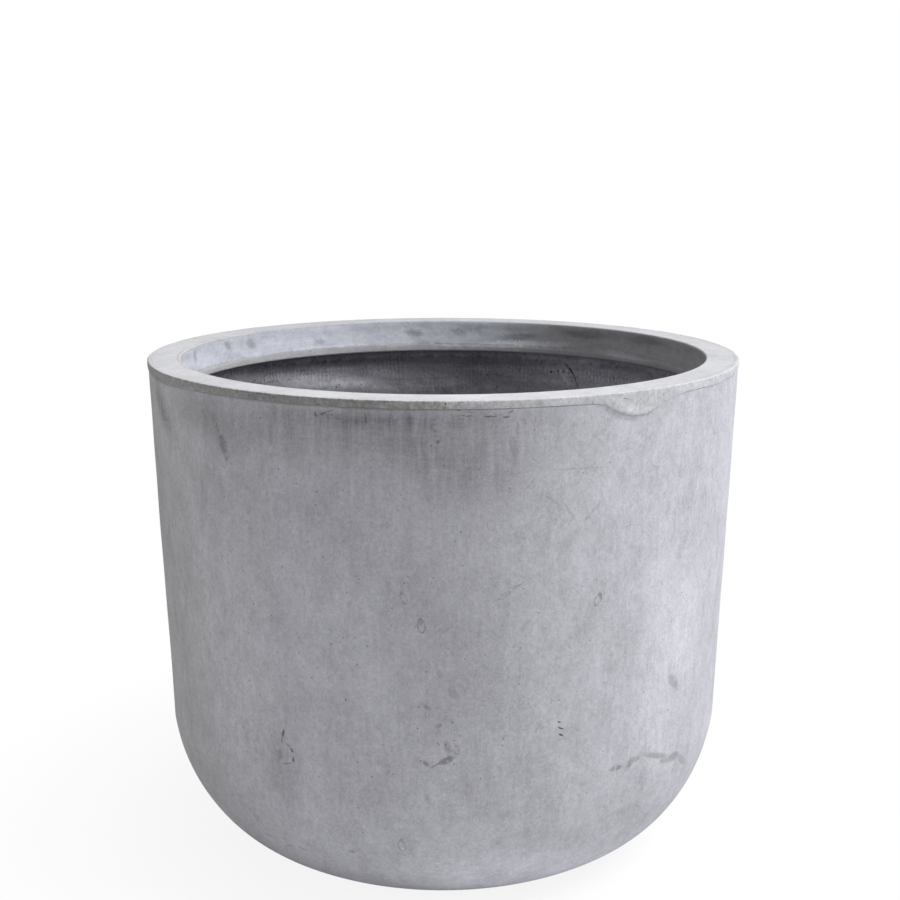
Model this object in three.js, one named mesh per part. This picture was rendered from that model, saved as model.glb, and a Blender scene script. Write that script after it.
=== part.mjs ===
// Bowl planter in thin-wall glass-fibre concrete, turned about one upright axis.
// The wall is built in layers: a smooth outer skin, glass mesh, and a hand-laid backing.
// A cast collar thickens the rim, and a plugged sleeve drains the floor.
// Millimetres, +Z up. The origin is the centre of the face it stands on.

import * as THREE from 'three';

// ---- Outer form --------------------------------------------------------------------------
const HEIGHT = 400;
const RIM_RADIUS = 240; // outside, just below the rounded edge
const RIM_EDGE_ROUND = 1.5;
const WALL_TAPER = 9; // how much the radius shrinks down the straight wall
const BOWL_HEIGHT = 101.5;
const BOWL_START_ANGLE = 0.155; // radians: the elliptical bowl leaves the wall at a soft break
const STANDING_RADIUS = 137.5; // outer edge of the flat ring that it stands on
const STANDING_WIDTH = 20;
const DISH_SLOPE_WIDTH = 18; // the underside rises inside the ring, so that water can get away
const DISH_DEPTH = 3;

// ---- Wall layers, from the outside in ----------------------------------------------------
const SKIN_THICKNESS = 4;
const MESH_THICKNESS = 1;
const BACKING_THICKNESS = 6;
const LAYER_GAP = 0.3;
const MESH_TURN_UP = 28.5; // the bowl's mesh is turned up the wall this far above the bowl
const BACKING_TURN_UP = 13.5; // the bowl's backing ends lower, so that the joints are staggered

// ---- Rim collar --------------------------------------------------------------------------
const RIM_TOP_WIDTH = 26;
const RIM_INNER_ROUND = 1.5;
const COLLAR_DEPTH = 30;
const COLLAR_LAP = 5; // how far the collar laps down outside, over the top of the wall
const COLLAR_LIP_ROUND = 4;
const ROVING_RADIUS = 3;
const ROVING_DEPTH = 19; // from the top of the rim to the hoop's centre

// ---- Floor and drain ---------------------------------------------------------------------
const FLOOR_THICKNESS = 14;
const DRAIN_RADIUS = 12;
const SLEEVE_WALL = 2.5;
const SLEEVE_FLANGE_WIDTH = 7;
const SLEEVE_FLANGE_THICKNESS = 2.5;
const PLUG_CLEARANCE = 0.4; // between the stem's thick end and the sleeve's bore
const PLUG_STEM_LENGTH = 22;
const PLUG_STEM_TAPER = 1;
const PLUG_HEAD_OVERLAP = 5; // how far the head covers the sleeve's flange
const PLUG_HEAD_THICKNESS = 3.5;
const PLUG_NECK_RADIUS = 3.5;
const PLUG_NECK_HEIGHT = 3;
const PLUG_KNOB_RADIUS = 7;

// ---- Fineness of the rounds --------------------------------------------------------------
const BODY_SIDES = 48;
const DRAIN_SIDES = 32;
const BOWL_STEPS = 6;
const EDGE_STEPS = 3;
const ROVING_SIDES = 8;

// ---- Places that follow from the sizes above ---------------------------------------------
const quarterTurn = Math.PI / 2;
const wallFootRadius = RIM_RADIUS - WALL_TAPER; // outside, where the wall turns into the bowl
const wallSlope = WALL_TAPER / (HEIGHT - RIM_EDGE_ROUND - BOWL_HEIGHT);
const bowlAcross = (wallFootRadius - STANDING_RADIUS) / Math.cos(BOWL_START_ANGLE);
const bowlDown = BOWL_HEIGHT / (1 - Math.sin(BOWL_START_ANGLE));

const meshInset = SKIN_THICKNESS + LAYER_GAP;
const backingInset = meshInset + MESH_THICKNESS + LAYER_GAP;
const wallThickness = backingInset + BACKING_THICKNESS;
const linedInset = wallThickness + LAYER_GAP; // where the collar and the floor meet the backing

const meshJoint = BOWL_HEIGHT + MESH_TURN_UP;
const backingJoint = BOWL_HEIGHT + BACKING_TURN_UP;
const lapHeight = HEIGHT - COLLAR_LAP;
const wallTop = lapHeight - LAYER_GAP;
const collarBottom = HEIGHT - COLLAR_DEPTH;
const rimInnerRadius = RIM_RADIUS - RIM_TOP_WIDTH;

const floorTop = DISH_DEPTH + linedInset + FLOOR_THICKNESS;
const sleeveRadius = DRAIN_RADIUS + SLEEVE_WALL;
const drainHoleRadius = sleeveRadius + LAYER_GAP;
const flangeRadius = sleeveRadius + SLEEVE_FLANGE_WIDTH;
const flangeBottom = floorTop - SLEEVE_FLANGE_THICKNESS;

// ---- Section lines, as [radius, height] points -------------------------------------------

// Points on a round corner, from one angle to another, the centre's own angle 0 pointing outwards.
function arc(centre, radius, fromAngle, toAngle, steps) {
  return Array.from({ length: steps + 1 }, (_, step) => {
    const angle = fromAngle + ((toAngle - fromAngle) * step) / steps;
    return [centre[0] + radius * Math.cos(angle), centre[1] + radius * Math.sin(angle)];
  });
}

// Radius of the straight wall at a height, a given depth inside the outer face.
function wallRadius(height, inset) {
  const outside = wallFootRadius + (height - BOWL_HEIGHT) * wallSlope;
  return outside - inset * Math.hypot(1, wallSlope);
}

// The bowl's elliptical section, a given depth inside the outer face, from the wall to the base.
function bowlLine(inset) {
  const wallNormal = new THREE.Vector2(1, -wallSlope).normalize();
  return Array.from({ length: BOWL_STEPS + 1 }, (_, step) => {
    const angle = BOWL_START_ANGLE + ((quarterTurn - BOWL_START_ANGLE) * step) / BOWL_STEPS;
    const onFace = new THREE.Vector2(
      STANDING_RADIUS + bowlAcross * Math.cos(angle),
      bowlDown * (1 - Math.sin(angle)),
    );
    const normal = new THREE.Vector2(Math.cos(angle) / bowlAcross, -Math.sin(angle) / bowlDown);
    normal.normalize();
    let depth = inset;
    if (step === 0) {
      const between = normal.clone().add(wallNormal).normalize();
      depth = inset / between.dot(wallNormal); // the two offset lines meet on the mitre
      normal.copy(between);
    }
    return onFace.addScaledVector(normal, -depth).toArray();
  });
}

// The dished base, a given depth inside the outer face, from the bowl in to the drain hole.
function baseLine(inset, holeRadius) {
  const ringInner = STANDING_RADIUS - STANDING_WIDTH;
  return [
    [ringInner, inset],
    [ringInner - DISH_SLOPE_WIDTH, DISH_DEPTH + inset],
    [holeRadius, DISH_DEPTH + inset],
  ];
}

// The whole vessel's section at one depth, from the top of the layer down to the drain hole.
function vesselLine(inset, top) {
  return [[wallRadius(top, inset), top], ...bowlLine(inset), ...baseLine(inset, drainHoleRadius)];
}

// A bowl-shaped layer between two depths, closed over its top edge and around the drain hole.
function bowlSection([outerInset, innerInset], top) {
  return [...vesselLine(innerInset, top), ...vesselLine(outerInset, top).reverse()];
}

// A band of the wall between two depths.
function bandSection([outerInset, innerInset], bottom, top) {
  return [
    [wallRadius(top, innerInset), top],
    [wallRadius(bottom, innerInset), bottom],
    [wallRadius(bottom, outerInset), bottom],
    [wallRadius(top, outerInset), top],
  ];
}

// ---- Pieces ------------------------------------------------------------------------------

// Turns a closed section into a solid about +Z.
function turned(section, sides) {
  const points = section.map(([radius, height]) => new THREE.Vector2(radius, height));
  if (section[0][0] > 0) {
    points.push(points[0].clone());
  }
  return new THREE.LatheGeometry(points, sides).rotateX(quarterTurn);
}

const pieces = new THREE.Group();

function addPiece(name, section, look, sides = BODY_SIDES) {
  const mesh = new THREE.Mesh(turned(section, sides), new THREE.MeshStandardMaterial(look));
  mesh.name = name;
  pieces.add(mesh);
}

// The fair-faced skin is sprayed into the mould first, so it carries the outside's finish.
const skinLook = { color: 0xafb0b7, roughness: 0.8, metalness: 0 };
addPiece('outer_skin', bowlSection([0, SKIN_THICKNESS], wallTop), skinLook);

// Glass mesh reinforces the wall in two pieces: a sheet cut to the bowl, and a band round the wall.
const meshLook = { color: 0xd9dcd6, roughness: 0.6, metalness: 0 };
const meshDepths = [meshInset, meshInset + MESH_THICKNESS];
addPiece('bowl_mesh', bowlSection(meshDepths, meshJoint), meshLook);
addPiece('wall_mesh', bandSection(meshDepths, meshJoint + LAYER_GAP, wallTop), meshLook);

// The backing is laid on by hand over the mesh: first packed into the bowl, then rolled up the wall.
const backingLook = { color: 0x84858a, roughness: 0.9, metalness: 0 };
const backingDepths = [backingInset, wallThickness];
addPiece('bowl_backing', bowlSection(backingDepths, backingJoint), backingLook);
addPiece('wall_backing', bandSection(backingDepths, backingJoint + LAYER_GAP, wallTop), backingLook);

// A hoop of bundled glass roving lies against the backing and stiffens the rim.
const rovingHeight = HEIGHT - ROVING_DEPTH;
const rovingCentre = [wallRadius(rovingHeight, linedInset) - ROVING_RADIUS, rovingHeight];
const rovingRound = arc(rovingCentre, ROVING_RADIUS, 0, quarterTurn * 4, ROVING_SIDES).slice(1);
addPiece('rim_roving', rovingRound, { color: 0xd8dccf, roughness: 0.5, metalness: 0 });

// The collar is cast round the hoop and over the wall's top edge. Its groove holds the hoop.
const rimLook = { color: 0xc2c2c7, roughness: 0.8, metalness: 0 };
const grooveRadius = ROVING_RADIUS + LAYER_GAP;
const grooveTop = rovingHeight + grooveRadius;
const grooveBottom = rovingHeight - grooveRadius;
const grooveRound = arc(
  rovingCentre, grooveRadius, quarterTurn * 3, quarterTurn, ROVING_SIDES / 2,
);
const rimEdgeCentre = [RIM_RADIUS - RIM_EDGE_ROUND, HEIGHT - RIM_EDGE_ROUND];
const rimInnerCentre = [rimInnerRadius + RIM_INNER_ROUND, HEIGHT - RIM_INNER_ROUND];
const lipCentre = [rimInnerRadius + COLLAR_LIP_ROUND, collarBottom + COLLAR_LIP_ROUND];
addPiece('rim_collar', [
  ...arc(rimInnerCentre, RIM_INNER_ROUND, quarterTurn, quarterTurn * 2, EDGE_STEPS),
  ...arc(lipCentre, COLLAR_LIP_ROUND, quarterTurn * 2, quarterTurn * 3, EDGE_STEPS),
  [wallRadius(collarBottom, linedInset), collarBottom],
  [wallRadius(grooveBottom, linedInset), grooveBottom],
  ...grooveRound,
  [wallRadius(grooveTop, linedInset), grooveTop],
  [wallRadius(lapHeight, linedInset), lapHeight],
  [wallRadius(lapHeight, 0), lapHeight],
  ...arc(rimEdgeCentre, RIM_EDGE_ROUND, 0, quarterTurn, EDGE_STEPS),
], rimLook);

// The floor slab is trowelled level over the backing and round the sleeve's flange.
function radiusOnLine(line, height) {
  const below = line.findIndex((point) => point[1] <= height);
  const [high, low] = [line[below - 1], line[below]];
  return low[0] + ((high[0] - low[0]) * (height - low[1])) / (high[1] - low[1]);
}
const liningLine = vesselLine(linedInset, wallTop);
const flangeSeatRadius = flangeRadius + LAYER_GAP;
const flangeSeatHeight = flangeBottom - LAYER_GAP;
addPiece('floor_slab', [
  [flangeSeatRadius, floorTop],
  [flangeSeatRadius, flangeSeatHeight],
  [drainHoleRadius, flangeSeatHeight],
  ...liningLine.filter((point) => point[1] < floorTop).reverse(),
  [radiusOnLine(liningLine, floorTop), floorTop],
], backingLook);

// A flanged sleeve lines the drain hole through every layer of the floor.
addPiece('drain_sleeve', [
  [DRAIN_RADIUS, floorTop],
  [DRAIN_RADIUS, DISH_DEPTH],
  [sleeveRadius, DISH_DEPTH],
  [sleeveRadius, flangeBottom],
  [flangeRadius, flangeBottom],
  [flangeRadius, floorTop],
], { color: 0x4a4c4e, roughness: 0.55, metalness: 0 }, DRAIN_SIDES);

// The rubber plug drops into the sleeve from above and pulls out by its knob.
const plugSeat = floorTop + LAYER_GAP;
const plugStemRadius = DRAIN_RADIUS - PLUG_CLEARANCE;
const plugHeadRadius = DRAIN_RADIUS + PLUG_HEAD_OVERLAP;
const plugHeadTop = plugSeat + PLUG_HEAD_THICKNESS;
const knobCentre = [0, plugHeadTop + PLUG_NECK_HEIGHT];
addPiece('drain_plug', [
  [0, plugSeat - PLUG_STEM_LENGTH],
  [plugStemRadius - PLUG_STEM_TAPER, plugSeat - PLUG_STEM_LENGTH],
  [plugStemRadius, plugSeat],
  [plugHeadRadius, plugSeat],
  [plugHeadRadius, plugHeadTop],
  [PLUG_NECK_RADIUS, plugHeadTop],
  [PLUG_NECK_RADIUS, knobCentre[1]],
  ...arc(knobCentre, PLUG_KNOB_RADIUS, 0, quarterTurn, EDGE_STEPS).slice(0, -1),
  [0, knobCentre[1] + PLUG_KNOB_RADIUS],
], { color: 0x26282a, roughness: 0.7, metalness: 0 }, DRAIN_SIDES);

export default pieces;
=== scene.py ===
# %% [markdown]
# # A bowl planter in thin-wall fibre concrete
#
# The pot is cast in a mould, in layers. A fine skin is sprayed in first, glass mesh is pressed into
# it, a coarse backing is laid on by hand, and last the rim is cast thicker and trowelled flat. So the
# eye meets several different surfaces, and each of them is a piece of its own here, with its own finish.
# All lengths are in metres, Z is up, and the side that faces the viewer is -Y.

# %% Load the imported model, the frame that every piece has to fit
import math
import bpy
import numpy as np
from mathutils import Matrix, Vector


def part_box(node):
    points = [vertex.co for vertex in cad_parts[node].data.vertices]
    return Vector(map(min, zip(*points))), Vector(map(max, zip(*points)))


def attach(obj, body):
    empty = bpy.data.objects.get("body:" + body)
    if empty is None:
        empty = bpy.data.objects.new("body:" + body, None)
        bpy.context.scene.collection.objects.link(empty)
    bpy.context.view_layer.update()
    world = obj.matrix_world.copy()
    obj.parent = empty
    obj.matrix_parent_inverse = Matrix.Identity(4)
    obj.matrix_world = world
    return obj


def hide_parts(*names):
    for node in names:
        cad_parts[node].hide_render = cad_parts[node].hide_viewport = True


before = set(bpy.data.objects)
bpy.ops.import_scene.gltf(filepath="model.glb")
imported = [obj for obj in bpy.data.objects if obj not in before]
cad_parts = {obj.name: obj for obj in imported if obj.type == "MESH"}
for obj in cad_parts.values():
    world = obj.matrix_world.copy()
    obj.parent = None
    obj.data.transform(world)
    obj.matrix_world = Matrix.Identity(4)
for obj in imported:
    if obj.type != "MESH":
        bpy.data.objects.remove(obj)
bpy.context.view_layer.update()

# %% [markdown]
# ## Sizes
# Every CAD node is turned about the pot's axis, so a node is known once its section is known: the list
# of its distinct radii and heights. We read the sizes off those sections instead of typing them again.
# That way the looks can't drift away from the construction.

# %% Read the sizes off the frame
MM = 0.001
FULL_TURN = 2 * math.pi
SAME_LEVEL = 0.1 * MM


def section_points(node):
    """The distinct (radius, height) pairs of a turned node, as two columns."""
    corners = np.array([vertex.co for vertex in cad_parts[node].data.vertices])
    pairs = np.column_stack([np.hypot(corners[:, 0], corners[:, 1]), corners[:, 2]])
    return np.unique(pairs.round(6), axis=0)


def radii_at(points, height):
    """The radii of a section's points that lie at one height."""
    return points[np.abs(points[:, 1] - height) < SAME_LEVEL, 0]


skin_points = section_points("outer_skin")
wall_top = skin_points[:, 1].max()
wall_top_radius = radii_at(skin_points, wall_top).max()
skin_depth = wall_top_radius - radii_at(skin_points, wall_top).min()
below_top = skin_points[skin_points[:, 1] < wall_top - MM]
break_radius, break_height = below_top[below_top[:, 0].argmax()]
standing_radius = radii_at(skin_points, 0).max()
ring_radius = radii_at(skin_points, 0).min()
dish_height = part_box("drain_sleeve")[0].z
dish_radius = radii_at(skin_points, dish_height).max()
drain_hole_radius = radii_at(skin_points, dish_height).min()

collar_points = section_points("rim_collar")
rim_height = collar_points[:, 1].max()
rim_radius = collar_points[:, 0].max()
rim_inner_radius = collar_points[:, 0].min()
collar_bottom = collar_points[:, 1].min()
edge_round = rim_radius - radii_at(collar_points, rim_height).max()
inner_round = radii_at(collar_points, rim_height).min() - rim_inner_radius
lining_radius = radii_at(collar_points, collar_bottom).max()
outer_ring = collar_points[collar_points[:, 0] > wall_top_radius - 0.5 * MM]
lap_height = outer_ring[:, 1].min()

print(f"rim {rim_radius:.4f} over {rim_inner_radius:.4f}, collar {collar_bottom:.4f}-{rim_height:.4f},"
      f" lap from {lap_height:.4f}, edges rounded by {edge_round:.4f} and {inner_round:.4f}")
print(f"wall breaks into the bowl at {break_radius:.4f}, {break_height:.4f}; stands on"
      f" {ring_radius:.4f}-{standing_radius:.4f}; dish {dish_height:.4f} from {dish_radius:.4f}")

# %% [markdown]
# ## The section line
# Straight wall, soft break, elliptical bowl, flat ring, shallow dish: this one line gives the outer skin.
# The layers behind it follow the same line at a depth, so each function takes that depth and moves its
# points inwards along their own normals. The bowl starts on its ellipse at a small angle, not at zero,
# and that is what leaves the faint crease round the real pot.

# %% The vessel's section at any depth
BOWL_START = 0.155  # radians on the bowl's ellipse
wall_slope = (wall_top_radius - break_radius) / (wall_top - break_height)
bowl_across = (break_radius - standing_radius) / math.cos(BOWL_START)
bowl_down = break_height / (1 - math.sin(BOWL_START))


def wall_radius(height, depth=0.0):
    """Radius of the straight wall at a height, a depth inside its outer face."""
    return break_radius + (height - break_height) * wall_slope - depth * math.hypot(1, wall_slope)


def wall_line(depth, top, bottom, rows):
    """Points down the straight wall."""
    heights = np.linspace(top, bottom, rows)
    return np.column_stack([wall_radius(heights, depth), heights])


def bowl_line(depth, rows, start=BOWL_START, end=math.pi / 2):
    """Points down the bowl, from just under the break to the standing ring."""
    angles = np.linspace(start, end, rows + 1)[1:]
    face = np.column_stack([standing_radius + bowl_across * np.cos(angles),
                            bowl_down * (1 - np.sin(angles))])
    normal = np.column_stack([np.cos(angles) / bowl_across, -np.sin(angles) / bowl_down])
    normal /= np.linalg.norm(normal, axis=1)[:, None]
    return face - depth * normal


def base_line(depth, rows):
    """Points along the dished base, from the standing ring in to the drain hole."""
    radii = np.linspace(standing_radius, drain_hole_radius, rows + 1)[1:]
    corners_r = [-standing_radius, -ring_radius, -dish_radius, -drain_hole_radius]
    heights = np.interp(-radii, corners_r, [0, 0, dish_height, dish_height])
    return np.column_stack([radii, heights + depth])


def vessel_line(depth, wall_rows, bowl_rows, base_rows, top=wall_top):
    """Points down the wall, through the bowl and in along the base to the drain hole."""
    return np.vstack([wall_line(depth, top, break_height, wall_rows),
                      bowl_line(depth, bowl_rows), base_line(depth, base_rows)])


print("wall slope:", round(math.degrees(math.atan(wall_slope)), 2), "degrees")

# %% [markdown]
# ## The camera
# The camera comes early, because it does a second job. Stains, drips and scratches are known by where
# they are seen, so a helper sends a ray through a pixel of the 900 by 900 picture and finds where it
# lands on the pot. Its place came from fitting the outline and the rim's two edges to the known size.

# %% Place the camera and turn pixels into places on the pot
PICTURE = 900
EYE = np.array([0.0054, -1.1, 0.5519])
LOOK_DOWN = 0.2116  # radians
FOCAL_PIXELS = 1335.5
SENSOR = 36  # mm

camera_data = bpy.data.cameras.new("viewer")
camera_data.sensor_width = SENSOR
camera_data.lens = FOCAL_PIXELS * SENSOR / PICTURE
camera = bpy.data.objects.new("viewer", camera_data)
camera.location = EYE
camera.rotation_euler = (math.pi / 2 - LOOK_DOWN, 0, 0)
bpy.context.scene.collection.objects.link(camera)
bpy.context.scene.camera = camera

RAY_STEPS = np.linspace(0.7, 1.6, 9001)[:, None]  # metres from the eye, every 0.1 mm


def seen_at(pixel, radius_at, far=False):
    """(angle, height) where the ray through a pixel first or last crosses a turned surface."""
    right = (pixel[0] - PICTURE / 2) / FOCAL_PIXELS
    down = (pixel[1] - PICTURE / 2) / FOCAL_PIXELS
    ahead = np.array([0, math.cos(LOOK_DOWN), -math.sin(LOOK_DOWN)])
    up = np.array([0, math.sin(LOOK_DOWN), math.cos(LOOK_DOWN)])
    points = EYE + RAY_STEPS * (ahead + right * np.array([1, 0, 0]) - down * up)
    hits = np.flatnonzero(np.hypot(points[:, 0], points[:, 1]) < radius_at(points[:, 2]))
    x, y, z = points[hits[-1] if far else hits[0]]
    return math.atan2(x, -y), z


def vessel_radius(height):
    """Outer radius at any height, straight wall and bowl alike."""
    sine = np.clip(1 - np.asarray(height) / bowl_down, 0, 1)
    bowl = standing_radius + bowl_across * np.sqrt(1 - sine ** 2)
    return np.where(height > break_height, wall_radius(height), bowl)


def on_wall(pixel):
    """Place on the outside that is seen at a pixel."""
    return seen_at(pixel, vessel_radius)


def on_far_side(pixel, radius_at):
    """Place on the far side of a turned inner surface, its angle from 0 to a full turn."""
    angle, height = seen_at(pixel, radius_at, far=True)
    return angle % FULL_TURN, height


def on_collar(pixel):
    """Place on the collar's far inner face that is seen at a pixel."""
    return on_far_side(pixel, lambda z: np.full_like(z, rim_inner_radius))


print("middle of the wall, angle and height:", np.round(on_wall((444, 600)), 4).tolist())

# %% [markdown]
# ## Turned pieces with hand-made surfaces
# A lathe gives perfect rings, and cast concrete isn't perfect. So each piece is built as a grid: rows
# run along its section, columns go round the axis, and every grid point may be moved a little before
# the faces are made. The relief is a sum of waves whose count round the pot is a whole number, so
# it meets itself without a seam. The volume that is printed also proves that the faces point outwards:
# turned inside out, it would be negative.

# %% Build a closed mesh from rings, and make relief for it
def angles_round(columns):
    """Angles round the pot, 0 towards the viewer and positive towards the right."""
    return (np.arange(columns) * FULL_TURN / columns - math.pi)[:, None]


def litres(corners, faces):
    """Volume inside a closed mesh of quads and triangles."""
    total = 0.0
    for face in (faces[:, [0, 1, 2]], faces[:, [0, 2, 3]]):
        a, b, c = (corners[face[:, k]] for k in range(3))
        total += np.einsum("ij,ij->", a, np.cross(b, c)) / 6
    return total * 1000


def add_piece(name, corners, faces):
    """A smooth-shaded mesh object from arrays of corners and faces."""
    mesh = bpy.data.meshes.new(name)
    mesh.from_pydata(corners.tolist(), [], [list(dict.fromkeys(face)) for face in faces.tolist()])
    mesh.polygons.foreach_set("use_smooth", [True] * len(mesh.polygons))
    mesh.update()
    piece = bpy.data.objects.new(name, mesh)
    bpy.context.scene.collection.objects.link(piece)
    print(f"{name}: {len(mesh.polygons)} faces, {litres(corners, faces):.3f} litres")
    return piece


def ring_grid(radius, height):
    """Corners of a turned grid, the number of each corner, and the number of the one beside it."""
    angle = angles_round(len(radius))
    corners = np.stack([radius * np.sin(angle), -radius * np.cos(angle), height], axis=-1)
    index = np.arange(radius.size).reshape(radius.shape)
    return corners.reshape(-1, 3), index, np.roll(index, -1, axis=0)


def turned_piece(name, radius, height):
    """A closed piece from arrays of radius and height, shaped (columns, rows), outside going down."""
    corners, index, beside = ring_grid(radius, height)
    below, beside_below = np.roll(index, -1, axis=1), np.roll(beside, -1, axis=1)
    faces = np.stack([index, below, beside_below, beside], axis=-1).reshape(-1, 4)
    return add_piece(name, corners, faces)


def repeat_round(outline, columns):
    """The same outline in every column, as arrays of radius and height that can be changed."""
    radius, height = (np.repeat(outline[None, :, k], columns, axis=0) for k in (0, 1))
    return angles_round(columns), radius, height


def waves(angle, height, wavelength, seed, count=40):
    """Smooth random relief, mostly between -1 and 1, that closes on itself round the pot.
    Each use has a seed of its own, so that no two reliefs are alike."""
    random = np.random.default_rng(seed)
    most_round = max(1, round(FULL_TURN * rim_radius / wavelength))
    total = np.zeros(np.broadcast(angle, height).shape)
    for _ in range(count):
        heading, phase = random.uniform(0, FULL_TURN, 2)
        turns = round(most_round * math.cos(heading))
        climb = FULL_TURN * math.sin(heading) / wavelength
        total += np.sin(turns * angle + climb * height + phase)
    return total / math.sqrt(count)


def ease(value, low, high):
    """0 below low, 1 above high, smooth between."""
    share = np.clip((value - low) / (high - low), 0, 1)
    return share * share * (3 - 2 * share)


# %% [markdown]
# ## The rim's slurry edge
# When the rim is cast, thin slurry runs over the top of the wall and down the outside. It leaves a
# film a quarter of a millimetre thick with a ragged lower edge and, at the right, one fat drip. Its
# edge is drawn here as a line through the pixels where it is seen, and goes on as a slow wave
# round the back. The same line is needed twice, by the rim that ends there and by the skin under it.

# %% Trace the lower edge of the slurry round the whole rim
SLURRY_EDGE_SEEN = [
    (149.5, 372.5), (156, 380), (165, 385), (185, 389.5), (213, 394.0), (250, 397.5), (296, 399.5),
    (330, 402.5), (360, 406), (385, 408.5), (415, 408.5), (450, 407.5), (480, 408), (515, 407),
    (545, 405), (575, 404.8), (598, 403.8), (606, 405.5), (612, 409), (618, 412.3), (626, 414.8),
    (636, 415.8), (645, 415), (652, 411.5), (658, 407), (664, 402.5), (675, 396.5), (688, 391.3),
    (702, 387.7), (716, 384.5), (727, 379), (735, 374),
]
SLURRY_THICKNESS = 0.25 * MM
SLURRY_RECESS = 0.3 * MM
SLURRY_HIGHEST = wall_top - 0.4 * MM
SLURRY_SEEN_HALF = 1.5  # radians to either side of the middle in which the edge is known
PASSING = 0.1  # radians, half the width over which what is seen passes into what is guessed

slurry_seen = np.array([on_wall(pixel) for pixel in SLURRY_EDGE_SEEN])


def traced(places, elsewhere, angle, middle, half):
    """Height of a line that keeps to its seen places near a middle angle, and is free elsewhere."""
    seen = np.interp(angle, places[:, 0], places[:, 1])
    in_view = 1 - ease(np.abs(angle - middle), half - PASSING, half + PASSING)
    return elsewhere * (1 - in_view) + seen * in_view


def slurry_edge(angle):
    """Height of the slurry's lower edge at each angle."""
    behind = lap_height - 1.5 * MM + 1.8 * MM * waves(angle, 0 * angle, 150 * MM, seed=11, count=12)
    ragged = 0.18 * MM * waves(angle, 0 * angle, 9 * MM, seed=12)
    edge = traced(slurry_seen, behind, angle, 0, SLURRY_SEEN_HALF) + ragged
    return np.minimum(edge, SLURRY_HIGHEST)


def wall_relief(angle, height):
    """How far the cast face lies inside its true line: broad waves, never outwards."""
    broad = 0.16 * waves(angle, height, 190 * MM, seed=21)
    middle = 0.07 * waves(angle, height, 60 * MM, seed=22)
    return MM * np.clip(0.35 - broad - middle, 0, 1)


slurry_line = slurry_edge(angles_round(1440))
print(f"slurry edge between {slurry_line.min() / MM:.1f} and {slurry_line.max() / MM:.1f} mm high")

# %% [markdown]
# ## The fair-faced skin
# This is most of what is seen. It keeps the mould's line, with slow waves of a few tenths of a
# millimetre that only a raking light shows. Near the top it lies back by the slurry's thickness, so
# that the slurry can lap over it and still keep the rim's full radius.

# %% Cast the outer skin
SKIN_COLUMNS = 640
FOOT_EASE = (2 * MM, 30 * MM)  # heights between which the relief fades in above the standing ring
RECESS_ABOVE, RECESS_BELOW = 1 * MM, 14 * MM  # under the slurry's edge


def cast_outer_skin():
    outside = vessel_line(0, wall_rows=110, bowl_rows=56, base_rows=40)
    inside = vessel_line(skin_depth, wall_rows=12, bowl_rows=14, base_rows=8)
    outline = np.vstack([outside, inside[::-1]])
    angle, radius, height = repeat_round(outline, SKIN_COLUMNS)
    on_outside = np.arange(len(outline)) < len(outside)
    upright = on_outside * ease(outline[:, 1], *FOOT_EASE)
    slurry_low = slurry_edge(angle)
    recess = SLURRY_RECESS * ease(height, slurry_low - RECESS_BELOW, slurry_low - RECESS_ABOVE)
    radius -= upright * (wall_relief(angle, height) + recess)
    return turned_piece("fair_faced_skin", radius, height)


outer_skin = cast_outer_skin()

# %% [markdown]
# ## The rim collar
# The collar is one casting with four different sides. Its top is trowelled flat, its outer edge is
# rounded, its outside is the slurry skin, and its inner face ends in a lip where the concrete
# squeezed out under the former and was wiped off. All of them are rows of one closed section, and only
# the slurry's lower edge, the lip's upper edge and the small unevenness change from column to column.

# %% Trace the lip, a strip along the bottom of the inner face
LIP_EDGE_SEEN = [
    (240, 360), (259, 355), (288, 350.9), (316, 348.0), (345, 345.6), (376, 345.3), (397, 344.9),
    (426, 344.3), (469, 346.2), (490, 348.2), (511, 349.2), (545, 349.5), (588, 353.2), (614, 357.3),
    (631, 361.8), (651, 365.5), (668, 368),
]
LIP_PROUD = 0.2 * MM
LIP_EASE = 2 * MM  # the edge under the lip, crisper than the solid's
LIP_LOWEST, LIP_HIGHEST = collar_bottom + 5.5 * MM, collar_bottom + 11 * MM
LIP_SEEN_HALF = 0.85  # radians to either side of the far middle

lip_seen = np.array([on_collar(pixel) for pixel in LIP_EDGE_SEEN])
lip_seen = lip_seen[lip_seen[:, 0].argsort()]


def lip_edge(angle):
    """Height of the lip's upper edge at each angle."""
    turned = angle % FULL_TURN
    elsewhere = collar_bottom + 6.3 * MM + 1.2 * MM * waves(angle, 0 * angle, 90 * MM, seed=31, count=14)
    edge = traced(lip_seen, elsewhere, turned, math.pi, LIP_SEEN_HALF)
    return np.clip(edge, LIP_LOWEST, LIP_HIGHEST)


print("lip's height over the collar's bottom, mm:",
      np.round((lip_seen[:, 1] - collar_bottom) / MM, 1).tolist())

# %% Cast the collar
COLLAR_COLUMNS = 1080
SMALLEST_ROUND, LARGEST_ROUND = 0.9 * MM, 2.2 * MM
SKIM = 0.15 * MM  # how much thinner the slurry is at its edge
DRIP_SEEN = [(612, 409), (652, 411.5)]  # the drip's two sides
DRIP_BEAD = 0.8 * MM
DRIP_FADES = (0.03, 0.05)  # radians outside and inside its sides
TOP_DEEPEST = 0.4  # mm under the true top
LIP_STEP = ((-0.1, -0.3), (0, 0.3), (0.15, 0.85), (0.35, 1), (0.7, 0.7))  # (share down, share proud)
HOOP_CLEARANCE = 0.3 * MM

hoop_points = section_points("rim_roving")
hoop_centre = (hoop_points.min(axis=0) + hoop_points.max(axis=0)) / 2
groove_radius = (hoop_points[:, 1].max() - hoop_points[:, 1].min()) / 2 + HOOP_CLEARANCE


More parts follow.
